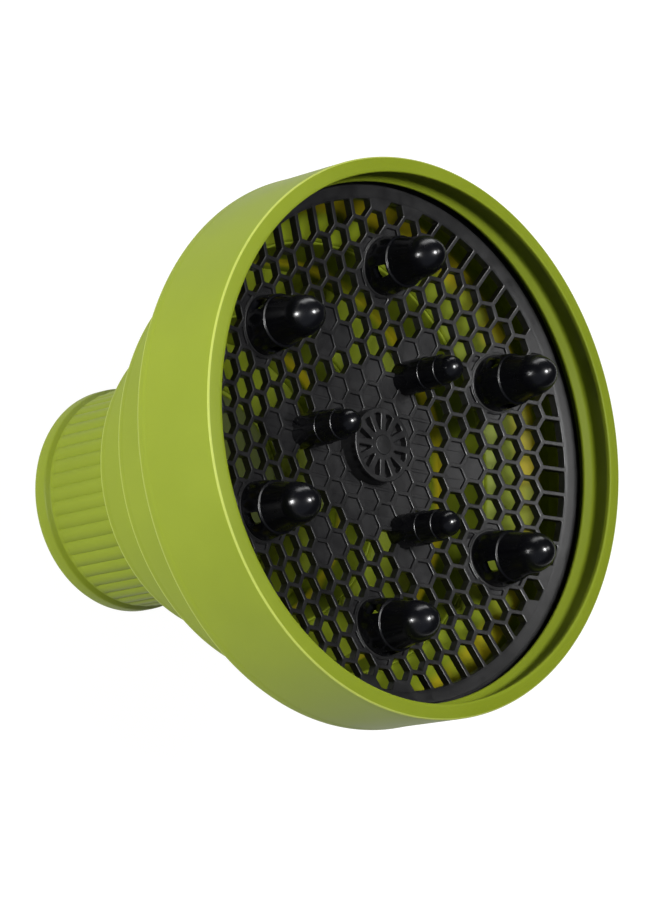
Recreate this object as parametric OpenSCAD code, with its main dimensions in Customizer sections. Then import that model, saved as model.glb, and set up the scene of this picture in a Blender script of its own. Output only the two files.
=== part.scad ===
// Collapsible silicone dryer diffuser with a honeycomb grille and hollow fingers.
// It stands on its collar: +Z runs from the dryer to the hair, origin at the collar's rear face.

/* [Overall] */
// Outer diameter of the front rim
rim_d = 148.8; // [140:0.2:180]
// Thickness of the silicone walls
wall_t = 2.4; // [1.8:0.1:2.8]
// Thickness of the folding webs, measured across
web_t = 1.7; // [1.2:0.1:2]

/* [Bowl] */
// Length of the bowl wall from its rear corner to the rim
bowl_l = 28.7; // [25:0.1:36]
// Thickness of the rim lip
lip_t = 4.2; // [3.6:0.1:5]
// Distance from the rim front back to the edge of the grille
grille_drop = 11.1; // [9.5:0.1:12]
// How far the silicone laps over the grille's edge
grille_lap = 1.5; // [1:0.1:1.8]

/* [Folds] */
// Height of the web between the bowl and the upper ring
web_upper_h = 8.6; // [7:0.1:9.5]
// Diameter of the upper ring at its rear corner
ring_upper_d = 116.2; // [110:0.2:118]
// Length of the upper ring
ring_upper_l = 18.8; // [15:0.1:23]
// Height of the web between the two rings
web_middle_h = 8.2; // [7:0.1:9.5]
// Diameter of the lower ring at its rear corner
ring_lower_d = 85.4; // [80:0.2:88]
// Length of the lower ring
ring_lower_l = 18.2; // [15:0.1:22]
// Height of the web between the lower ring and the collar
web_lower_h = 7.0; // [6:0.1:8]
// How much wider in radius a ring is at its front than at its rear
ring_flare = 2.4; // [1:0.1:3]

/* [Collar] */
// Bore that stretches over the dryer's nozzle
bore_d = 55; // [46:0.5:60]
// Length of the ribbed collar
collar_l = 36; // [30:0.5:44]
// Number of grip ribs around the collar
rib_n = 48; // [30:1:52]
// Height of the grip ribs
rib_h = 1.1; // [0.6:0.1:1.2]
// Width of the rolled bead at the rear of the collar
bead_w = 6; // [5:0.1:7]

/* [Grille] */
// Distance between the centres of neighbouring cells
cell_p = 7; // [6.4:0.1:8.4]
// Thickness of the walls between cells
cell_wall = 1.2; // [0.9:0.1:1.6]
// Thickness of the grille
grille_t = 2.5; // [2:0.1:3]
// How far the grille is dished from its centre to its edge
dish_rise = 10.2; // [8.5:0.1:11]
// Width of the plain band around the grille
band_w = 6.1; // [5:0.1:7]
// Clearance between the grille's back and the groove that holds it
groove_gap = 0.1; // [0.05:0.01:0.2]
// Depth of the recess in each closed cell
pocket_d = 0.7; // [0.4:0.1:1]

/* [Hub] */
// Radius of the hub
hub_r = 10; // [8.5:0.1:10.2]
// Height of the hub over the grille
hub_h = 4.8; // [3:0.1:6]
// Number of windows in the hub
hub_n = 12; // [8:1:14]
// Width of the spokes between the windows
spoke_w = 2; // [1.4:0.1:2.2]

/* [Fingers] */
// Length of an outer finger
outer_l = 19.7; // [16:0.1:26]
// Height of an outer finger's base, under its step
outer_step_h = 5.6; // [4.5:0.1:6.5]
// Radius of an outer finger at its base ring
outer_base_r = 7.7; // [7:0.1:8]
// Radius of an outer finger below its dome
outer_tip_r = 5.4; // [4.4:0.1:5.6]
// Length of an inner finger
inner_l = 19.4; // [17:0.1:24]
// Height of an inner finger's first step
inner_step_h = 7.6; // [6:0.1:9]
// Height between an inner finger's two steps
inner_mid_h = 5.7; // [4:0.1:7]
// Radius of an inner finger at its base
inner_base_r = 4.6; // [4.2:0.1:5]
// Clearance around a finger's spigot
spigot_gap = 0.1; // [0.05:0.01:0.2]

/* [Hidden] */
$fn = 96;
rim_r = rim_d / 2;
bore_r = bore_d / 2;
collar_r = bore_r + wall_t - 0.2;
ring_lower_z = collar_l + web_lower_h;
ring_upper_z = ring_lower_z + ring_lower_l + web_middle_h;
bowl_z = ring_upper_z + ring_upper_l + web_upper_h;
rim_h = bowl_z + bowl_l;
lip_r = rim_r - lip_t;
grille_r = lip_r + grille_lap;
vent_r = grille_r - band_w;
dish_z = rim_h - grille_drop - dish_rise;
dish_r = (grille_r * grille_r + dish_rise * dish_rise) / (2 * dish_rise);
dish_c = dish_z + dish_r;
cell_r = (cell_p - cell_wall) / sqrt(3);
col_p = cell_p * sqrt(3) / 2;
edge_col = floor((vent_r - 2) / col_p);
outer_c = 7 * cell_p;
inner_c = 2 * sqrt(3) * cell_p;
outer_seat = dish_at(outer_c + outer_base_r) + 0.2;
inner_seat = dish_at(inner_c + inner_base_r) + 0.15;
hub_seat = dish_at(hub_r) + 0.1;
outer_spigot_r = outer_tip_r + 0.4;
inner_spigot_r = 2.6;
window_r = hub_r - 1.5;
pad_h = dish_at(outer_c + outer_base_r) - dish_at(outer_c - outer_base_r) + grille_t - 0.6;
bead_r = bead_w / 2;

function dish_at(r) = dish_c - sqrt(dish_r * dish_r - r * r);
function back_at(r) = dish_c - sqrt((dish_r + grille_t) * (dish_r + grille_t) - r * r);
function cell_x(q) = q * col_p;
function cell_y(q, r) = (q / 2 + r) * cell_p;
function span(q, r) = max(abs(q), abs(r), abs(q + r));
function dist(x, y, a, c) = norm([x - c * cos(a), y - c * sin(a)]);
function at_finger(x, y) = min([for (k = [0:5]) dist(x, y, 30 + 60 * k, outer_c)]) < 1.1 * cell_p;
function at_island(x, y) = min([for (k = [0:5]) dist(x, y, 60 * k, 8 * col_p * 2 / 3)]) < 0.7 * cell_p;
function at_inner(x, y) = min([for (k = [0:2]) dist(x, y, 60 + 120 * k, inner_c)]) < 0.5 * cell_p;
function closed(x, y) = norm([x, y]) < 3.05 * cell_p || at_finger(x, y) || at_island(x, y)
    || at_inner(x, y);

// ---- bowl, rings, webs and collar ----

module bowl_shell() {
    color([0.62, 0.72, 0.20])
    rotate_extrude()
    difference() {
        union() {
            polygon([
                [rim_r - wall_t, bowl_z],
                [rim_r - 1.2, bowl_z],
                [rim_r, bowl_z + 1.2],
                [rim_r, rim_h - lip_t / 2],
                [lip_r, rim_h - lip_t / 2],
                [lip_r, rim_h - 4],
                [lip_r + 1, rim_h - 5],
                [lip_r + 1, rim_h - 7.4],
                [lip_r - 0.3, rim_h - 8.2],
                [lip_r - 0.3, rim_h - grille_drop + 0.5],
                [lip_r, rim_h - grille_drop],
                [lip_r, rim_h - grille_drop - grille_t - 2],
                [rim_r - wall_t, rim_h - grille_drop - grille_t - 5]
            ]);
            translate([rim_r - lip_t / 2, rim_h - lip_t / 2])
            circle(r = lip_t / 2);
        }
        polygon([
            [lip_r - 2, back_at(lip_r - 2) - groove_gap],
            [grille_r + 0.2, back_at(grille_r + 0.2) - groove_gap],
            [grille_r + 0.2, dish_at(grille_r) + 0.2],
            [lip_r - 2, dish_at(grille_r) + 0.2]
        ]);
    }
}

module fold_ring(r, z, l) {
    color([0.62, 0.72, 0.20])
    rotate_extrude()
    polygon([
        [r - wall_t, z],
        [r - 0.8, z],
        [r, z + 0.8],
        [r + ring_flare, z + l - 0.8],
        [r + ring_flare - 0.6, z + l],
        [r + ring_flare - wall_t, z + l]
    ]);
}

module fold_web(r0, z0, r1, z1) {
    color([0.60, 0.70, 0.20])
    rotate_extrude()
    polygon([
        [r0 - web_t, z0],
        [r0, z0],
        [r1, z1],
        [r1 - web_t, z1]
    ]);
}

module ring_upper() {
    fold_ring(ring_upper_d / 2, ring_upper_z, ring_upper_l);
}

module ring_lower() {
    fold_ring(ring_lower_d / 2, ring_lower_z, ring_lower_l);
}

module web_upper() {
    fold_web(ring_upper_d / 2 + ring_flare - 0.6, bowl_z - web_upper_h,
        rim_r - wall_t + web_t / 2, bowl_z);
}

module web_middle() {
    fold_web(ring_lower_d / 2 + ring_flare - 0.6, ring_upper_z - web_middle_h,
        ring_upper_d / 2 - 0.8, ring_upper_z);
}

module web_lower() {
    fold_web(collar_r, collar_l, ring_lower_d / 2 - 0.8, ring_lower_z);
}

module collar_sleeve() {
    color([0.60, 0.70, 0.18])
    difference() {
        union() {
            rotate_extrude()
            union() {
                square([collar_r, collar_l]);
                square([collar_r - 0.4, bead_w]);
                translate([collar_r - bead_r + 2.15, bead_r])
                circle(r = bead_r);
            }
            for (k = [0:rib_n - 1])
                rotate([0, 0, k * 360 / rib_n])
                translate([collar_r + rib_h - 1.1, 0, bead_w - 1])
                cylinder(r = 1.1, h = collar_l - bead_w - 1, $fn = 16);
        }
        translate([0, 0, -1])
        cylinder(r = bore_r, h = collar_l + 2);
    }
}

// ---- grille ----

module hex_cell(x, y) {
    translate([x, y])
    circle(r = cell_r, $fn = 6);
}

module open_cells() {
    n = edge_col + 3;
    for (q = [-n:n])
        for (r = [-n:n])
            if (span(q, r) < edge_col && !closed(cell_x(q), cell_y(q, r))
                && norm([cell_x(q), cell_y(q, r)]) < vent_r - 0.25 * cell_p)
                hex_cell(cell_x(q), cell_y(q, r));
}

module edge_slots() {
    w = cell_p - cell_wall;
    for (k = [0:5])
        rotate([0, 0, 60 * k])
        for (j = [-edge_col:0])
            if (norm([cell_x(edge_col) - cell_r / 2, abs(cell_y(edge_col, j)) + w / 2]) < vent_r)
                translate([cell_x(edge_col), cell_y(edge_col, j)])
                polygon([
                    [-cell_r, 0],
                    [-cell_r / 2, -w / 2],
                    [2 * cell_p, -w / 2],
                    [2 * cell_p, w / 2],
                    [-cell_r / 2, w / 2]
                ]);
}

module closed_cells() {
    for (q = [-10:10])
        for (r = [-10:10])
            if (span(q, r) < edge_col && closed(cell_x(q), cell_y(q, r))
                && norm([cell_x(q), cell_y(q, r)]) > hub_r - 1)
                hex_cell(cell_x(q), cell_y(q, r));
}

module plate(h) {
    translate([0, 0, dish_z - grille_t - 0.5])
    linear_extrude(height = dish_rise + grille_t + 1.5)
    children();
}

module dish(r) {
    translate([0, 0, dish_c])
    sphere(r = r, $fn = 180);
}

module shell() {
    rotate_extrude()
    intersection() {
        translate([0, dish_z - grille_t - 0.5])
        square([grille_r, dish_rise + grille_t + 1.5]);
        translate([0, dish_c])
        difference() {
            circle(r = dish_r + grille_t, $fn = 180);
            circle(r = dish_r, $fn = 180);
        }
    }
}

module finger_spots(c, a, n) {
    for (k = [0:n - 1])
        rotate([0, 0, a + k * 360 / n])
        translate([c, 0, 0])
        children();
}

module grille_disc() {
    color([0.10, 0.10, 0.11])
    difference() {
        union() {
            difference() {
                shell();
                plate() {
                    open_cells();
                    intersection() {
                        edge_slots();
                        circle(r = vent_r);
                    }
                }
                intersection() {
                    plate()
                    closed_cells();
                    dish(dish_r + pocket_d);
                }
            }
            finger_spots(outer_c, 30, 6)
            translate([0, 0, outer_seat - pad_h])
            cylinder(r = outer_base_r + 0.2, h = pad_h);
            finger_spots(inner_c, 60, 3)
            translate([0, 0, inner_seat - 1.8])
            cylinder(r = inner_base_r + 0.2, h = 1.8);
            translate([0, 0, dish_z - 1])
            cylinder(r = hub_r - 0.2, h = hub_seat - dish_z + 1);
        }
        finger_spots(outer_c, 30, 6)
        translate([0, 0, dish_z - 5])
        cylinder(r = outer_spigot_r + spigot_gap, h = 20);
        finger_spots(inner_c, 60, 3)
        translate([0, 0, dish_z - 5])
        cylinder(r = inner_spigot_r + spigot_gap, h = 20);
        translate([0, 0, dish_z - 5])
        cylinder(r = inner_spigot_r + spigot_gap, h = 20);
    }
}

// ---- hub ----

module hub_vent() {
    color([0.13, 0.13, 0.14])
    translate([0, 0, hub_seat]) {
        difference() {
            union() {
                cylinder(r = hub_r, h = hub_h - 0.6);
                translate([0, 0, hub_h - 0.6])
                cylinder(r1 = hub_r, r2 = hub_r - 0.6, h = 0.6);
                translate([0, 0, -grille_t - 0.6])
                cylinder(r = inner_spigot_r, h = grille_t + 1);
            }
            for (k = [0:hub_n - 1])
                rotate([0, 0, (k + 0.5) * 360 / hub_n])
                translate([0, 0, hub_h - 2])
                linear_extrude(height = 3)
                polygon([
                    [4.2, -0.15],
                    [window_r, spoke_w / 2 - window_r * sin(180 / hub_n)],
                    [window_r, window_r * sin(180 / hub_n) - spoke_w / 2],
                    [4.2, 0.15]
                ]);
            translate([0, 0, -grille_t - 1])
            cylinder(r = 1.4, h = grille_t + 3);
        }
    }
}

// ---- fingers ----

module outer_finger(k) {
    d = outer_tip_r;
    color([0.05, 0.05, 0.07])
    rotate([0, 0, 30 + 60 * k])
    translate([outer_c, 0, outer_seat])
    difference() {
        union() {
            cylinder(r1 = outer_base_r, r2 = outer_base_r - 0.6, h = outer_step_h);
            translate([0, 0, outer_step_h])
            cylinder(r1 = d + 1, r2 = d, h = outer_l - outer_step_h - d);
            translate([0, 0, outer_l - d])
            sphere(r = d);
            translate([0, 0, -grille_t - 2.4])
            cylinder(r = outer_spigot_r, h = grille_t + 2.5);
        }
        translate([0, 0, -grille_t - 3])
        cylinder(r = d - 1.1, h = outer_l - d + grille_t + 3);
        translate([0, 0, outer_l - d])
        sphere(r = d - 1.1);
        for (a = [0, 120, 240])
            rotate([0, 0, a])
            translate([0, -1.5, 1])
            cube([outer_base_r + 2, 3, outer_step_h - 1.4]);
    }
}

module inner_finger(k) {
    b = inner_base_r;
    color([0.05, 0.05, 0.07])
    rotate([0, 0, 60 + 120 * k])
    translate([inner_c, 0, inner_seat])
    difference() {
        union() {
            cylinder(r = b, h = inner_step_h);
            translate([0, 0, inner_step_h])
            cylinder(r = b - 0.3, h = inner_mid_h);
            translate([0, 0, inner_step_h + inner_mid_h])
            cylinder(r1 = b - 0.7, r2 = b - 1.1, h = inner_l - inner_step_h - inner_mid_h - b + 1.1);
            translate([0, 0, inner_l - b + 1.1])
            sphere(r = b - 1.1);
            translate([0, 0, -grille_t - 1])
            cylinder(r = inner_spigot_r, h = grille_t + 1.2);
        }
        translate([0, 0, -grille_t - 2])
        cylinder(r = 1.5, h = inner_l - 4 + grille_t);
    }
}

module outer_finger_1() { outer_finger(0); }
module outer_finger_2() { outer_finger(1); }
module outer_finger_3() { outer_finger(2); }
module outer_finger_4() { outer_finger(3); }
module outer_finger_5() { outer_finger(4); }
module outer_finger_6() { outer_finger(5); }
module inner_finger_1() { inner_finger(0); }
module inner_finger_2() { inner_finger(1); }
module inner_finger_3() { inner_finger(2); }

bowl_shell();
web_upper();
ring_upper();
web_middle();
ring_lower();
web_lower();
collar_sleeve();
grille_disc();
hub_vent();
outer_finger_1();
outer_finger_2();
outer_finger_3();
outer_finger_4();
outer_finger_5();
outer_finger_6();
inner_finger_1();
inner_finger_2();
inner_finger_3();
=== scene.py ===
"""Looks for the collapsible dryer diffuser. Metres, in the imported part's own frame."""

import math

import bmesh
import bpy
from mathutils import Matrix, Vector


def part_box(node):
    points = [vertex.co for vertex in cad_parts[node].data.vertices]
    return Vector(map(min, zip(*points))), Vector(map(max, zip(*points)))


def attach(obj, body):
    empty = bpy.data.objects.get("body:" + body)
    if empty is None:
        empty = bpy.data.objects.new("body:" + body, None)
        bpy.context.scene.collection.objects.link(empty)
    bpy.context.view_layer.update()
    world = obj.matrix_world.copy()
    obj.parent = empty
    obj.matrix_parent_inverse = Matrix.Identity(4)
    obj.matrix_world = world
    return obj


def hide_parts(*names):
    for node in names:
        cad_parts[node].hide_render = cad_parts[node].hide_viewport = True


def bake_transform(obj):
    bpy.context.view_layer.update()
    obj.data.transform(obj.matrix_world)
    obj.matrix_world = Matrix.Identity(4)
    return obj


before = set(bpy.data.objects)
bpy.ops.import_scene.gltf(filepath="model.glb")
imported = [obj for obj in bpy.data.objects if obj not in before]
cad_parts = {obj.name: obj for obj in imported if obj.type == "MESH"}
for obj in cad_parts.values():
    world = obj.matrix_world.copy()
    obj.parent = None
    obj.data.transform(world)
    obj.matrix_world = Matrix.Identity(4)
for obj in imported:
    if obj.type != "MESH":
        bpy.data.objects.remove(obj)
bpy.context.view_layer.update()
MM = 0.001

# ------------------------------------------------------------------ sizes, in mm, from the CAD frame


def reach(node):
    """(radius about the axis, lowest z, highest z) of a round CAD piece."""
    lo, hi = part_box(node)
    return hi[0] / MM, lo[2] / MM, hi[2] / MM


# The silicone body
WALL = 2.4
WEB_T = 1.0
FLARE = 2.4
LIP_T = 4.2
RIM_R, BOWL_Z, RIM_Z = reach("bowl_shell")
UPPER_R, UPPER_Z, UPPER_TOP = reach("ring_upper")
LOWER_R, LOWER_Z, LOWER_TOP = reach("ring_lower")
BEAD_R, _, COLLAR_L = reach("collar_sleeve")
LIP_R = RIM_R - LIP_T
BORE_R = 27.5
COLLAR_R = 29.7
RIBS = 48

# The grille: GROOVE_Z is its top at the edge, DISH_Z its top at the centre
GRILLE_R, _, _ = reach("grille_disc")
GRILLE_T = 2.5
GRILLE_DROP = 11.1
GROOVE_Z = RIM_Z - GRILLE_DROP
VENT_R = GRILLE_R - 6.1
BAND_R = GRILLE_R - 2.5
DISH_RISE = 10.2
DISH_Z = GROOVE_Z - DISH_RISE
DISH_R = (GRILLE_R ** 2 + DISH_RISE ** 2) / (2 * DISH_RISE)
CELL = 7.0
CELL_WALL = 1.2

# The vent and the fingers
HUB_R, _, HUB_TOP = reach("hub_vent")
HUB_N = 12
OUTER_C = 7 * CELL
OUTER_FOOT = 7.7
OUTER_SEAT = 0.2
OUTER_STEP = 5.6
OUTER_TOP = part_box("outer_finger_1")[1][2] / MM
INNER_C = 2 * math.sqrt(3) * CELL
INNER_FOOT = 4.6
INNER_SEAT = 0.15
INNER_STEPS = (7.6, 13.3)
INNER_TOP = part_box("inner_finger_1")[1][2] / MM


def dish(r):
    """Height of the grille's top at radius r."""
    return DISH_Z + DISH_R - math.sqrt(DISH_R ** 2 - r * r)


# ------------------------------------------------------------------ mesh helpers


def rounded(points, steps=5):
    """A closed outline of (x, y, radius) corners, each turned into an arc."""
    out = []
    n = len(points)
    for i, (x, y, rad) in enumerate(points):
        p = Vector((x, y))
        a, b = Vector(points[i - 1][:2]), Vector(points[(i + 1) % n][:2])
        u, v = a - p, b - p
        la, lb = u.length, v.length
        u.normalize()
        v.normalize()
        ang = math.acos(max(-1.0, min(1.0, u.dot(v))))
        if rad <= 0 or ang > math.pi - 0.02:
            out.append((x, y))
            continue
        d = min(rad / math.tan(ang / 2), 0.48 * la, 0.48 * lb)
        r = d * math.tan(ang / 2)
        c = p + (u + v).normalized() * (r / math.sin(ang / 2))
        s, e = p + u * d - c, p + v * d - c
        t0, t1 = math.atan2(s.y, s.x), math.atan2(e.y, e.x)
        turn = (t1 - t0 + math.pi) % (2 * math.pi) - math.pi
        for k in range(steps + 1):
            t = t0 + turn * k / steps
            out.append((c.x + r * math.cos(t), c.y + r * math.sin(t)))
    return out


def densify(outline, step):
    """The same outline with no stretch longer than step."""
    out = []
    n = len(outline)
    for i in range(n):
        a, b = outline[i], outline[(i + 1) % n]
        k = max(1, int(math.ceil(math.dist(a, b) / step)))
        for j in range(k):
            out.append((a[0] + (b[0] - a[0]) * j / k, a[1] + (b[1] - a[1]) * j / k))
    return out


def new_mesh(name, verts, faces, scale=MM):
    """An object in the scene, from points in mm unless scale says otherwise."""
    me = bpy.data.meshes.new(name)
    me.from_pydata([Vector(v) * scale for v in verts], [], faces)
    me.validate()
    ob = bpy.data.objects.new(name, me)
    bpy.context.scene.collection.objects.link(ob)
    return ob


def tidy(ob, angle=40.0):
    """Merges doubles, makes normals consistent, and shades smooth with sharp edges kept."""
    bm = bmesh.new()
    bm.from_mesh(ob.data)
    bmesh.ops.remove_doubles(bm, verts=bm.verts, dist=1e-6)
    bmesh.ops.recalc_face_normals(bm, faces=bm.faces)
    limit = math.radians(angle)
    for f in bm.faces:
        f.smooth = True
    for e in bm.edges:
        e.smooth = len(e.link_faces) == 2 and e.calc_face_angle(0.0) < limit
    bm.to_mesh(ob.data)
    bm.free()
    return ob


def lathe(name, outline, seg=256, at=(0, 0, 0), bump=None, angle=40.0):
    """A closed outline of (r, z) turned round the axis at `at`. bump(theta, r, z) may move points outward."""
    verts, faces = [], []
    n = len(outline)
    for i in range(seg):
        t = 2 * math.pi * i / seg
        c, s = math.cos(t), math.sin(t)
        for r, z in outline:
            q = r + (bump(t, r, z) if bump else 0.0)
            verts.append((at[0] + q * c, at[1] + q * s, at[2] + z))
    for i in range(seg):
        j = (i + 1) % seg
        for k in range(n):
            m = (k + 1) % n
            faces.append((i * n + k, j * n + k, j * n + m, i * n + m))
    return tidy(new_mesh(name, verts, faces), angle)


def baked(ob):
    """Applies the object's modifiers to its mesh."""
    bpy.context.view_layer.update()
    ev = ob.evaluated_get(bpy.context.evaluated_depsgraph_get())
    me = bpy.data.meshes.new_from_object(ev)
    ob.modifiers.clear()
    old, ob.data = ob.data, me
    bpy.data.meshes.remove(old)
    return ob


def drop(*obs):
    """Deletes helper objects."""
    for ob in obs:
        bpy.data.objects.remove(ob, do_unlink=True)


def joined(name, obs):
    """One object from several that have no modifiers."""
    bm = bmesh.new()
    for ob in obs:
        bm.from_mesh(ob.data)
    me = bpy.data.meshes.new(name)
    bm.to_mesh(me)
    bm.free()
    drop(*obs)
    ob = bpy.data.objects.new(name, me)
    bpy.context.scene.collection.objects.link(ob)
    return ob


def plate(name, outer, holes, z0, z1, bevel=0.0, segments=1):
    """A flat plate with holes between two heights, with rounded edges."""
    cu = bpy.data.curves.new(name, "CURVE")
    cu.dimensions = "2D"
    cu.fill_mode = "BOTH"
    cu.extrude = ((z1 - z0) / 2 - bevel) * MM
    cu.bevel_depth = bevel * MM
    cu.bevel_resolution = segments
    cu.offset = -bevel * MM
    for loop in [outer] + holes:
        sp = cu.splines.new("POLY")
        sp.points.add(len(loop) - 1)
        for pt, (x, y) in zip(sp.points, loop):
            pt.co = (x * MM, y * MM, 0, 1)
        sp.use_cyclic_u = True
    flat = bpy.data.objects.new(name, cu)
    bpy.context.scene.collection.objects.link(flat)
    bpy.context.view_layer.update()
    me = bpy.data.meshes.new_from_object(flat.evaluated_get(bpy.context.evaluated_depsgraph_get()))
    me.transform(Matrix.Translation((0, 0, (z0 + z1) / 2 * MM)))
    drop(flat)
    ob = bpy.data.objects.new(name, me)
    bpy.context.scene.collection.objects.link(ob)
    return tidy(ob, 20)


def circle(r, n, cx=0.0, cy=0.0):
    """An outline of n points on a circle."""
    turns = [2 * math.pi * k / n for k in range(n)]
    return [(cx + r * math.cos(t), cy + r * math.sin(t)) for t in turns]


# ------------------------------------------------------------------ materials


class Shade:
    """A small builder for one procedural material."""

    def __init__(self, name):
        self.m = bpy.data.materials.new(name)
        self.m.use_nodes = True
        self.t = self.m.node_tree
        self.b = self.t.nodes["Principled BSDF"]
        self.co = self.t.nodes.new("ShaderNodeTexCoord").outputs["Object"]

    def node(self, kind, **inputs):
        n = self.t.nodes.new(kind)
        for k, v in inputs.items():
            self.put(n.inputs[k.replace("_", " ")], v)
        return n

    def put(self, socket, value):
        if isinstance(value, bpy.types.NodeSocket):
            self.t.links.new(value, socket)
        else:
            socket.default_value = value

    def set(self, **inputs):
        for k, v in inputs.items():
            self.put(self.b.inputs[k.replace("_", " ")], v)

    def noise(self, scale, detail, rough, distortion=0.0):
        n = self.node("ShaderNodeTexNoise", Scale=scale, Detail=detail, Roughness=rough,
                      Distortion=distortion, Vector=self.co)
        return n.outputs["Fac"]

    def ramp(self, fac, stops):
        n = self.t.nodes.new("ShaderNodeValToRGB")
        self.put(n.inputs["Fac"], fac)
        el = n.color_ramp.elements
        while len(el) < len(stops):
            el.new(0.5)
        for e, (p, c) in zip(el, stops):
            e.position = p
            e.color = (*c, 1.0)
        return n.outputs["Color"]

    def mix(self, fac, a, b):
        n = self.t.nodes.new("ShaderNodeMix")
        n.data_type = "RGBA"
        self.put(n.inputs[0], fac)
        self.put(n.inputs[6], a)
        self.put(n.inputs[7], b)
        return n.outputs[2]

    def math(self, op, a, b=0.0, clamp=False):
        n = self.t.nodes.new("ShaderNodeMath")
        n.operation = op
        n.use_clamp = clamp
        self.put(n.inputs[0], a)
        self.put(n.inputs[1], b)
        return n.outputs[0]

    def remap(self, v, a, b, c, d):
        """v from the range a to b, taken to the range c to d and held there."""
        n = self.node("ShaderNodeMapRange")
        for s, x in zip(("Value", "From Min", "From Max", "To Min", "To Max"), (v, a, b, c, d)):
            self.put(n.inputs[s], x)
        return n.outputs["Result"]

    def xyz(self):
        return self.node("ShaderNodeSeparateXYZ", Vector=self.co).outputs

    def bumps(self, *layers):
        """layers of (height socket, strength, distance in m), the first underneath."""
        normal = None
        for h, strength, dist in layers:
            n = self.node("ShaderNodeBump", Strength=strength, Distance=dist, Height=h)
            if normal is not None:
                self.put(n.inputs["Normal"], normal)
            normal = n.outputs["Normal"]
        self.put(self.b.inputs["Normal"], normal)


def silicone(name, pale=0.0, glow=()):
    """Satin lime silicone, paler by `pale` as a painted highlight; with `glow` it is darker all over as
    painted shade, with painted light, a yellow tone and a weak glow, in the bands of height `glow`, in mm.
    """
    s = Shade(name)
    cloud = s.noise(38.0, 3.0, 0.5)
    speck = s.noise(900.0, 2.0, 0.6)
    tone = s.ramp(cloud, [(0.30, (0.143, 0.182, 0.0100)), (0.70, (0.158, 0.199, 0.0130))])
    tone = s.mix(s.remap(speck, 0.62, 0.80, 0.0, 0.08), tone, (0.24, 0.28, 0.04, 1.0))
    # Painted highlight: a pale cream tone mixed in where a rounded edge would catch the light
    if pale:
        tone = s.mix(pale, tone, (0.52, 0.56, 0.16, 1.0))
    s.set(Base_Color=tone, Roughness=s.remap(cloud, 0.3, 0.7, 0.47, 0.55))
    s.set(Specular_IOR_Level=0.13, Subsurface_Weight=0.10, Subsurface_Scale=0.003)
    s.b.inputs["Subsurface Radius"].default_value = (1.0, 0.9, 0.08)
    s.bumps((cloud, 0.06, 0.0008), (s.noise(2600.0, 3.0, 0.6), 0.10, 0.00008))
    if glow:
        z = s.xyz()["Z"]
        patch = s.remap(s.noise(75.0, 2.0, 0.5), 0.40, 0.62, 0.15, 1.0)
        total = 0.0
        for a, b in glow:
            up = s.remap(z, a * MM, (a + GLOW_FADE) * MM, 0.0, 1.0)
            down = s.remap(z, (b - GLOW_FADE) * MM, b * MM, 1.0, 0.0)
            total = s.math("ADD", s.math("MULTIPLY", up, down), total)
        amount = s.math("MULTIPLY", total, patch, clamp=True)
        # Painted shade: a darker copy of the tone; painted light: a yellow tone with weak emission in the
        # glow bands, for light shining through the silicone
        painted_shade_tone = s.mix(0.30, tone, (0.06, 0.08, 0.002, 1.0))
        s.set(Base_Color=s.mix(amount, painted_shade_tone, (0.19, 0.155, 0.004, 1.0)))
        s.set(Roughness=0.7, Specular_IOR_Level=0.12)
        s.b.inputs["Emission Color"].default_value = (0.54, 0.45, 0.015, 1.0)
        s.set(Emission_Strength=s.math("MULTIPLY", amount, 0.17))
    return s.m


def matte_black():
    """Moulded black plastic with a fine grain, blotches and scuffs."""
    s = Shade("grille_black")
    grain = s.noise(3200.0, 4.0, 0.65)
    cloud = s.noise(55.0, 4.0, 0.6)
    blotch = s.noise(170.0, 3.0, 0.6)
    scuff = s.noise(160.0, 6.0, 0.7, distortion=0.6)
    tone = s.ramp(cloud, [(0.30, (0.0034, 0.0034, 0.0039)), (0.72, (0.0062, 0.0060, 0.0065))])
    tone = s.mix(s.remap(scuff, 0.60, 0.78, 0.0, 0.30), tone, (0.024, 0.024, 0.026, 1.0))
    s.set(Base_Color=tone, Roughness=s.remap(blotch, 0.3, 0.7, 0.34, 0.52))
    s.set(Specular_IOR_Level=0.5)
    s.bumps((blotch, 0.14, 0.0006), (grain, 0.20, 0.00012))
    return s.m


def gloss_black():
    """Smooth black plastic with faint smears."""
    s = Shade("finger_black")
    cloud = s.noise(90.0, 3.0, 0.5)
    smear = s.noise(420.0, 5.0, 0.7)
    tone = s.ramp(cloud, [(0.3, (0.0014, 0.0015, 0.0022)), (0.7, (0.0026, 0.0027, 0.0038))])
    s.set(Base_Color=tone, Roughness=s.remap(smear, 0.35, 0.75, 0.20, 0.30))
    s.set(Specular_IOR_Level=0.42)
    s.bumps((cloud, 0.04, 0.0006), (smear, 0.02, 0.0001))
    return s.m


def pale_floor():
    """A white studio floor that hardly shows shadows."""
    s = Shade("floor_pale")
    tone = s.ramp(s.noise(3.0, 3.0, 0.5), [(0.3, (0.075, 0.075, 0.075)), (0.7, (0.09, 0.09, 0.088))])
    s.set(Base_Color=tone, Roughness=0.9)
    s.b.inputs["Emission Color"].default_value = (1, 1, 1, 1)
    s.b.inputs["Emission Strength"].default_value = 0.985
    return s.m


# Bands of inner wall with painted light, a yellow tone and a weak emission where light would shine through
# the silicone, and how softly they end
GLOW = [(LOWER_Z + 4.0, LOWER_Z + 9.0), (UPPER_Z + 1.6, UPPER_Z + 6.6), (BOWL_Z - 3.8, BOWL_Z + 1.2)]
GLOW_FADE = 1.6

# Outer radius and rear end of the bowl and of each ring, where a bead runs round and gets a painted highlight
BEADS = [(RIM_R, BOWL_Z), (UPPER_R - FLARE, UPPER_Z), (LOWER_R - FLARE, LOWER_Z)]

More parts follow.
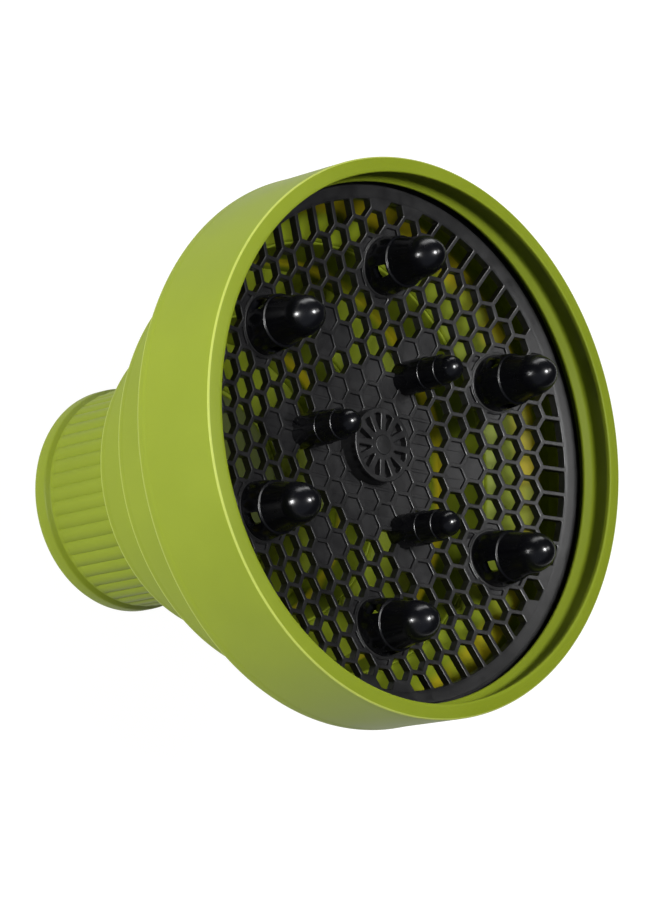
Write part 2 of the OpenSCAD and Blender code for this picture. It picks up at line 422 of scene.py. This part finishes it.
# SKIN: the plain silicone, a darker inside copy with painted shade and painted glow, and two paler copies
# that paint highlights on the lip's outer corner and on the beads
SKIN = (silicone("silicone_lime"),
        silicone("silicone_inside_painted_shade_glow", glow=GLOW),
        silicone("silicone_lip_painted_highlight", pale=0.32),
        silicone("silicone_bead_painted_highlight", pale=0.13))
MATTE = matte_black()
GLOSS = gloss_black()


def highlight_slot(r, z):
    """SKIN's slot on an outer face: 2, a painted highlight, on the lip's outer corner, 3, a fainter painted
    highlight, on a bead, or 0.
    """
    if r > RIM_R - 0.65 and z > RIM_Z - 1.3:
        return 2
    return 3 * any(r > bead_r - 0.9 and 0.3 < z - rear < 1.7 for bead_r, rear in BEADS)


def paint(ob, *mats):
    """Gives the materials. With SKIN, slot 1, a darker copy with painted shade and painted glow, goes on
    inward faces behind the grille, and 2 and 3, with painted highlights, on edges.
    """
    ob.data.materials.clear()
    for m in mats:
        ob.data.materials.append(m)
    if len(mats) < 2:
        return
    for f in ob.data.polygons:
        x, y, z = f.center
        r = math.hypot(x, y)
        inward = x * f.normal.x + y * f.normal.y < -0.15 * r
        if inward and z < DISH_Z * MM:
            f.material_index = 1
        elif not inward:
            f.material_index = highlight_slot(r / MM, z / MM)


def place(ob, body, slot, mats, *replaces):
    """Gives a finished piece its materials, its body and the CAD nodes that it stands for; slot is not used.
    """
    paint(ob, *mats)
    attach(ob, body)
    if replaces:
        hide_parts(*replaces)


# ------------------------------------------------------------------ the silicone body


def rear_bead(r, z, bead, neck, wall):
    """Outline corners of a rolled rear end; bead, neck and wall are radii past r, going forward."""
    return [(r - WALL - 1.2, z, 0.5), (r + bead, z, 1.7), (r + neck, z + 2.6, 1.0), (r + wall, z + 3.6, 1.5)]


def bowl():
    """The bowl: bead, wall, crowned lip, inner ledge, grille groove and inner wall."""
    o = rounded(rear_bead(RIM_R, BOWL_Z, 0.15, 0.1, 0.0) + [
        (RIM_R, RIM_Z - 0.6, 0.5),
        (LIP_R + 0.9, RIM_Z, 1.2),
        (LIP_R, RIM_Z, 0.45),
        (LIP_R + 0.05, RIM_Z - 1.3, 0.6),
        (LIP_R + 1.6, RIM_Z - 7.2, 1.6),
        (LIP_R - 0.7, GROOVE_Z + 2.1, 0.5),
        (LIP_R - 0.7, GROOVE_Z + 1.3, 0.3),
        (LIP_R + 1.3, GROOVE_Z + 0.8, 0.2),
        (GRILLE_R + 0.3, GROOVE_Z + 0.5, 0.2),
        (GRILLE_R + 0.3, GROOVE_Z - 3.1, 0.2),
        (LIP_R, GROOVE_Z - 3.4, 0.5),
        (LIP_R, GROOVE_Z - 4.5, 1.5),
        (RIM_R - WALL, GROOVE_Z - 7.5, 1.5),
        (RIM_R - WALL, BOWL_Z + 3.6, 1.5),
    ])
    return lathe("bowl_skin", densify(o, 3.0), seg=320)


def ring(name, r1, z0, z1):
    """A flared ring, r1 in radius at its front."""
    r0 = r1 - FLARE
    o = rounded(rear_bead(r0, z0, 0.2, 0.3, 0.45) + [
        (r1, z1, 1.6),
        (r1 - WALL, z1, 0.5),
        (r0 - WALL + 0.4, z0 + 3.6, 1.5),
    ])
    return lathe(name, densify(o, 2.5), seg=288)


def web(name, r0, z0, r1, z1):
    """A thin cone between two rings, with a soft bend at each end sunk into its neighbours."""
    front = [(r0 - 0.1, z0 - 0.7)]
    n = 18
    for k in range(n + 1):
        u = k / n
        bend = u * u * (3 - 2 * u)
        front.append((r0 + (r1 - r0) * u, z0 + (z1 - z0) * (0.35 * bend + 0.65 * u)))
    front.append((r1 + 0.1, z1 + 0.7))
    back = [(r - 0.80 * WEB_T, z + 0.55 * WEB_T) for r, z in reversed(front)]
    return lathe(name, front + back, seg=288, angle=60)


def collar():
    """The collar: a bead at the rear and flutes that fade out at both ends."""
    def flute(t, r, z):
        if r < COLLAR_R - 0.3 or z < 6.0:
            return 0.0
        rise = min(1.0, max(0.0, (z - 6.6) / 1.4))
        fall = min(1.0, max(0.0, (COLLAR_L - 0.6 - z) / 1.6))
        return 0.6 * rise * fall * (0.5 + 0.5 * math.cos(RIBS * t)) ** 0.4

    o = rounded([
        (BORE_R, 0.0, 0.6),
        (BEAD_R, 0.0, 1.8),
        (BEAD_R, 5.2, 1.4),
        (COLLAR_R + 1.1, 6.5, 0.7),
        (COLLAR_R + 0.8, 8.0, 0.5),
        (COLLAR_R + 0.8, COLLAR_L, 0.5),
        (BORE_R, COLLAR_L, 0.4),
    ])
    return lathe("collar_skin", densify(o, 1.6), seg=RIBS * 12, bump=flute, angle=55)


def fold(name, r0, z0, r1, z1):
    """The web between two pieces, from (r0, z0) on the first to (r1, z1) on the second; it takes the CAD
    web's place, attached to no body.
    """
    piece = web(name + "_web_skin", r0, z0, r1, z1)
    paint(piece, *SKIN)
    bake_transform(piece)
    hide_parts("web_" + name)


place(bowl(), "head", "silicone", SKIN, "bowl_shell")
place(ring("upper_ring_skin", UPPER_R, UPPER_Z, UPPER_TOP), "upper_stage", "silicone", SKIN, "ring_upper")
place(ring("lower_ring_skin", LOWER_R, LOWER_Z, LOWER_TOP), "lower_stage", "silicone", SKIN, "ring_lower")
place(collar(), "collar", "silicone", SKIN, "collar_sleeve")

fold("upper", UPPER_R - 0.9, UPPER_TOP, RIM_R - 2.0, BOWL_Z)
fold("middle", LOWER_R - 0.9, LOWER_TOP, UPPER_R - FLARE - 1.9, UPPER_Z)
fold("lower", COLLAR_R - 0.2, COLLAR_L, LOWER_R - FLARE - 1.9, LOWER_Z)

# ------------------------------------------------------------------ the grille

# Distance between columns of cells, columns out to the band, and a hole's corner radius
COL = CELL * math.sqrt(3) / 2
COLUMNS = int((VENT_R - 2) // COL)
HEX_R = (CELL - CELL_WALL) / math.sqrt(3)


def polar(c, deg):
    """The point at radius c and angle deg."""
    return (c * math.cos(math.radians(deg)), c * math.sin(math.radians(deg)))


# Centres of the outer fingers, the inner fingers and six lone closed cells
OUTER = [polar(OUTER_C, 30 + 60 * k) for k in range(6)]
INNER = [polar(INNER_C, 60 + 120 * k) for k in range(3)]
ISLANDS = [polar(16 * COL / 3, 60 * k) for k in range(6)]


def near(p, spots, d):
    """True where p is within d of one of the spots."""
    return min(math.dist(p, spot) for spot in spots) < d


def is_closed(p):
    """True for a cell with a floor: those round the vent, under and round the fingers, and six lone ones."""
    return (math.hypot(*p) < 3.05 * CELL or near(p, OUTER, 1.1 * CELL)
            or near(p, ISLANDS, 0.7 * CELL) or near(p, INNER, 0.5 * CELL))


def clip(poly, r, centre=(0.0, 0.0), inside=True):
    """A convex polygon cut to one side of a circle, with short chords along the arc."""
    mid = Vector(centre)

    def keeps(p):
        return ((p - mid).length <= r) == inside

    out = []
    for i in range(len(poly)):
        a, b = Vector(poly[i]), Vector(poly[(i + 1) % len(poly)])
        if keeps(a):
            out.append(a)
        if keeps(a) != keeps(b):
            lo, hi = (a, b) if keeps(a) else (b, a)
            for _ in range(40):
                half = (lo + hi) / 2
                lo, hi = (half, hi) if keeps(half) else (lo, half)
            out.append(lo)
    arc = []
    for i, p in enumerate(out):
        q = out[(i + 1) % len(out)]
        arc.append(tuple(p))
        on_arc = abs((p - mid).length - r) < 1e-3 and abs((q - mid).length - r) < 1e-3
        if on_arc and (q - p).length > 0.8:
            a0 = math.atan2(p.y - mid.y, p.x - mid.x)
            a1 = math.atan2(q.y - mid.y, q.x - mid.x)
            d = (a1 - a0 + math.pi) % (2 * math.pi) - math.pi
            for k in (1, 2, 3):
                t = a0 + d * k / 4
                arc.append((mid.x + r * math.cos(t), mid.y + r * math.sin(t)))
    return arc


def softened(poly, r=0.35):
    """The outline with small round corners."""
    return rounded([(x, y, r) for x, y in poly], 2)


def cells():
    """Outlines of the open holes, and centres of the closed cells."""
    holes, shut = [], []
    for q in range(-COLUMNS, COLUMNS + 1):
        for r in range(-COLUMNS, COLUMNS + 1):
            if max(abs(q), abs(r), abs(q + r)) >= COLUMNS:
                continue
            x, y = q * COL, (q / 2 + r) * CELL
            if is_closed((x, y)):
                shut.append((x, y))
            elif math.hypot(x, y) < VENT_R - 0.25 * CELL:
                holes.append(softened(clip(circle(HEX_R, 6, x, y), VENT_R)))
    return holes + rim_slots(), shut


def rim_slots():
    """Outlines of the long slots of the last column, along each of the six sides."""
    slots = []
    w = (CELL - CELL_WALL) / 2
    x = COLUMNS * COL
    for k in range(6):
        rot = Matrix.Rotation(math.radians(60 * k), 2)
        for j in range(-COLUMNS, 1):
            y = (COLUMNS / 2 + j) * CELL
            if math.hypot(x - HEX_R / 2, abs(y) + w) >= VENT_R:
                continue
            slot = [(x - HEX_R, y), (x - HEX_R / 2, y - w), (x + 2 * CELL, y - w),
                    (x + 2 * CELL, y + w), (x - HEX_R / 2, y + w)]
            slots.append(softened([tuple(rot @ Vector(p)) for p in clip(slot, VENT_R)]))
    return slots


def dished(ob):
    """Bends a flat piece, whose top is at height 0, onto the dish."""
    for v in ob.data.vertices:
        v.co.z += dish(math.hypot(v.co.x, v.co.y) / MM) * MM
    return ob


def pockets(shut):
    """Outlines of the closed cells that aren't under the vent or a finger, cut back from the pads."""
    out = []
    for x, y in shut:
        finger = min(OUTER + INNER, key=lambda f: math.dist((x, y), f))
        gap = math.dist((x, y), finger)
        if math.hypot(x, y) < HUB_R - 1 or gap < 1:
            continue
        cell = circle(HEX_R, 6, x, y)
        if finger in OUTER and gap < 1.1 * CELL:
            cell = clip(cell, 8.6, finger, inside=False)
        out.append(softened(cell, 0.3))
    return out


def grille():
    """The lattice, the floors of its closed cells, ridges round the outer fingers, and the band."""
    holes, shut = cells()
    holes += [circle(6.2, 48, x, y) for x, y in OUTER]
    holes += [circle(2.3, 32, x, y) for x, y in INNER]
    lattice = finely_split(plate("grille_lattice", circle(BAND_R, 256), holes + pockets(shut),
                               -GRILLE_T, 0.0, 0.2))
    floors = finely_split(plate("grille_floors", circle(VENT_R + 1, 192), holes, -GRILLE_T + 0.2, -0.7))
    ridges = joined("grille_ridges", [plate("ridge", circle(8.3, 72, x, y), [circle(7.7, 72, x, y)],
                                            -0.6, 0.3, 0.15) for x, y in OUTER])
    band = rounded([(VENT_R + 0.35, -0.3, 0), (BAND_R, -0.3, 0), (BAND_R, 0.04, 0.25),
                    (VENT_R + 0.35, 0.04, 0.03)], 3)
    flange = rounded([(VENT_R + 1, -GRILLE_T, 0), (GRILLE_R, -GRILLE_T, 0.4), (GRILLE_R, -1.5, 0.4),
                      (VENT_R + 1, -1.5, 0)])
    edge = [lathe("band", densify(o, 1.0), seg=320) for o in (band, flange)]
    return [dished(ob) for ob in (lattice, floors, ridges, joined("grille_band", edge))]


def finely_split(ob):
    """Splits long edges, so that the faces are small enough to bend with the dish."""
    bm = bmesh.new()
    bm.from_mesh(ob.data)
    for _ in range(3):
        too_long = [e for e in bm.edges if e.calc_length() > 3.5 * MM]
        if not too_long:
            break
        bmesh.ops.subdivide_edges(bm, edges=too_long, cuts=1)
    bmesh.ops.triangulate(bm, faces=bm.faces)
    bm.to_mesh(ob.data)
    bm.free()
    return ob


def pads():
    """The raised round seats that the fingers stand on."""
    obs = []
    for spots, r, hole, rise in ((OUTER, 7.2, 6.3, OUTER_SEAT), (INNER, 4.3, 2.6, INNER_SEAT)):
        for x, y in spots:
            c = math.hypot(x, y)
            foot, top = dish(c) - 2.0, dish(c + r) + rise
            o = rounded([(hole, foot, 0), (r, foot, 0), (r, top, 0.3), (hole, top, 0)])
            obs.append(lathe("pad", o, seg=72, at=(x, y, 0)))
    return joined("grille_pads", obs)


lattice, floors, ridges, band = grille()
place(lattice, "head", "grille_plastic", [MATTE], "grille_disc")
for part in (floors, ridges, band, pads()):
    place(part, "head", "grille_plastic", [MATTE])

# ------------------------------------------------------------------ the vent


def windows():
    """Outlines of the wedge-shaped windows between the spokes, each rounded and turned into place."""
    half = math.pi / HUB_N
    r0, r1 = 4.2, HUB_R - 1.35
    w0, w1 = 0.18, r1 * math.sin(half) - 1.0
    wedge = [(r0, -w0), (r1 * math.cos(half), -w1), (r1, 0.0), (r1 * math.cos(half), w1), (r0, w0)]
    wedge = softened(wedge, 0.25)
    out = []
    for k in range(HUB_N):
        a = (k + 0.5) * 2 * half
        c, s = math.cos(a), math.sin(a)
        out.append([(x * c - y * s, x * s + y * c) for x, y in wedge])
    return out


def hub():
    """The vent: a spoked wheel on a cup, with a boss in its middle."""
    foot, top = dish(HUB_R) - 2.4, HUB_TOP
    wheel = plate("wheel", circle(HUB_R, 120), windows(), top - 2.2, top, 0.25)
    cup = lathe("cup", [(0.01, foot), (HUB_R, foot), (HUB_R, top - 0.5), (HUB_R - 0.9, top - 0.5),
                        (HUB_R - 0.9, top - 2.0), (0.01, top - 2.0)], seg=120)
    boss = lathe("boss", rounded([(0.01, top - 1.0, 0), (2.7, top - 1.0, 0), (2.7, top + 0.25, 0.25),
                                  (0.01, top + 0.25, 0)]), seg=64)
    return joined("hub_wheel", [wheel, cup, boss])


place(hub(), "head", "grille_plastic", [MATTE], "hub_vent")

# ------------------------------------------------------------------ the fingers


def dome(r, z, top, n):
    """Points from (r, z) over a dome that ends at top on the axis."""
    turns = [math.pi / 2 * k / n for k in range(n + 1)]
    return [(max(0.01, r * math.cos(t)), z + (top - z) * math.sin(t)) for t in turns]


def window_cutter(x, y, z, a):
    """A rounded bar that cuts a window into the foot of the finger at (x, y, z), towards angle a."""
    o = rounded([(-1.7, 0.9, 0.7), (1.7, 0.9, 0.7), (1.5, OUTER_STEP - 0.5, 0.4),
                 (-1.5, OUTER_STEP - 0.5, 0.4)], 3)
    n = len(o)
    c, s = math.cos(a), math.sin(a)
    verts = [(x + d * c - u * s, y + d * s + u * c, z + h) for d in (3.5, 10.0) for u, h in o]
    faces = [tuple(range(n)), tuple(range(2 * n - 1, n - 1, -1))]
    faces += [(k, k + n, (k + 1) % n + n, (k + 1) % n) for k in range(n)]
    return tidy(new_mesh("cutter", verts, faces))


def outer_finger(i, x, y):
    """A hollow finger: a skirt that meets the dish, a foot with three windows, a step and a long dome."""
    c = math.hypot(x, y)
    seat = dish(c + OUTER_FOOT) + OUTER_SEAT
    tall = OUTER_TOP - seat
    skirt = dish(c - OUTER_FOOT) - seat - 0.6
    out = rounded([(6.3, skirt, 0.2), (OUTER_FOOT + 0.05, skirt, 0.2), (OUTER_FOOT, 0.0, 0),
                   (7.05, OUTER_STEP, 0.14), (6.5, OUTER_STEP + 0.1, 0.08), (5.7, tall - 8.6, 0)], 4)
    out = out[:-1] + dome(5.7, tall - 8.6, tall, 22)
    inside = list(reversed(dome(4.3, tall - 7.4, tall - 1.2, 8)))
    inside += [(5.0, OUTER_STEP + 2.0), (5.5, OUTER_STEP), (5.7, skirt - 1.5)]
    ob = lathe("outer_finger_skin_%d" % i, out + inside, seg=96, at=(x, y, seat), angle=30)
    cutters = [window_cutter(x, y, seat, math.atan2(y, x) + math.radians(t)) for t in (0, 120, 240)]
    for cutter in cutters:
        m = ob.modifiers.new("window", "BOOLEAN")
        m.operation = "DIFFERENCE"
        m.solver = "EXACT"
        m.object = cutter
    baked(ob)
    drop(*cutters)
    return tidy(ob, 30)


def inner_finger(i, x, y):
    """A small finger in three steps."""
    c = math.hypot(x, y)
    seat = dish(c + INNER_FOOT) + INNER_SEAT
    tall = INNER_TOP - seat
    skirt = dish(c - INNER_FOOT) - seat - 0.4
    step_1, step_2 = INNER_STEPS
    out = rounded([(0.01, skirt, 0), (INNER_FOOT, skirt, 0), (INNER_FOOT, 0.0, 0),
                   (4.55, step_1, 0.2), (4.3, step_1 + 0.08, 0.1),
                   (4.2, step_2, 0.2), (3.9, step_2 + 0.08, 0.1), (3.55, tall - 4.0, 0)], 4)
    out = out[:-1] + dome(3.55, tall - 4.0, tall, 14)
    return lathe("inner_finger_skin_%d" % i, out, seg=80, at=(x, y, seat), angle=30)


for i, (x, y) in enumerate(OUTER, 1):
    place(outer_finger(i, x, y), "head", "finger_plastic", [GLOSS], "outer_finger_%d" % i)
for i, (x, y) in enumerate(INNER, 1):
    place(inner_finger(i, x, y), "head", "finger_plastic", [GLOSS], "inner_finger_%d" % i)

# ------------------------------------------------------------------ floor, light and camera

# The camera's place and its right, up and backward directions, and what the lights aim at
EYE = Vector((-0.6469, -0.2148, 0.8003))
RIGHT = Vector((0.7365, 0.0223, 0.6761))
UP = Vector((-0.1646, 0.9753, 0.1471))
BACK = Vector((-0.6561, -0.2196, 0.7220))
AIM = Vector((0, 0, DISH_Z * MM))
LAMP_DIST = 1.6

floor = new_mesh("floor", [(-6, -6, 0), (6, -6, 0), (6, 6, 0), (-6, 6, 0)], [(0, 1, 2, 3)], 1.0)
floor.location.z = -0.0003
floor.data.materials.append(pale_floor())


def softbox(name, way, light, size, size_y=None, tint=(1, 1, 1)):
    """A light in direction `way` that gives a white face turned to it the brightness `light`."""
    la = bpy.data.lights.new(name, "AREA")
    la.shape = "RECTANGLE"
    la.size, la.size_y = size, size_y or size
    la.energy = light * math.pi ** 2 * LAMP_DIST ** 2
    la.color = tint
    ob = bpy.data.objects.new(name, la)
    way = Vector(way).normalized()
    ob.location = AIM + way * LAMP_DIST
    ob.rotation_euler = way.to_track_quat("Z", "Y").to_euler()
    bpy.context.scene.collection.objects.link(ob)


softbox("left", (-0.99, -0.10, -0.03), 1.28, 0.32, 0.16)
softbox("left_high", (-0.99, -0.10, 0.035), 0.08, 0.20, 0.08)
softbox("front", (-0.22, 0.03, 0.97), 1.34, 0.32)
softbox("overhead", (-0.13, 0.99, -0.06), 0.78, 1.6, 0.9)
softbox("low_front", (-0.45, -0.62, 0.64), 0.14, 2.4, tint=(0.78, 0.85, 1.0))
softbox("glint", (0.19, 0.22, 0.95), 0.20, 0.45)

world = bpy.data.worlds.new("studio")
world.use_nodes = True
world.node_tree.nodes["Background"].inputs["Color"].default_value = (0.95, 0.97, 1.0, 1)
world.node_tree.nodes["Background"].inputs["Strength"].default_value = 0.03
bpy.context.scene.world = world
bpy.context.scene.view_settings.view_transform = "Standard"

cam = bpy.data.cameras.new("camera")
cam.sensor_fit = "VERTICAL"
cam.sensor_height = 36.0
cam.lens = 146.84
cam.clip_end = 20.0
eye = bpy.data.objects.new("camera", cam)
rot = Matrix((RIGHT, UP, BACK)).transposed().to_4x4()
eye.matrix_world = Matrix.Translation(EYE) @ rot
bpy.context.scene.collection.objects.link(eye)
bpy.context.scene.camera = eye
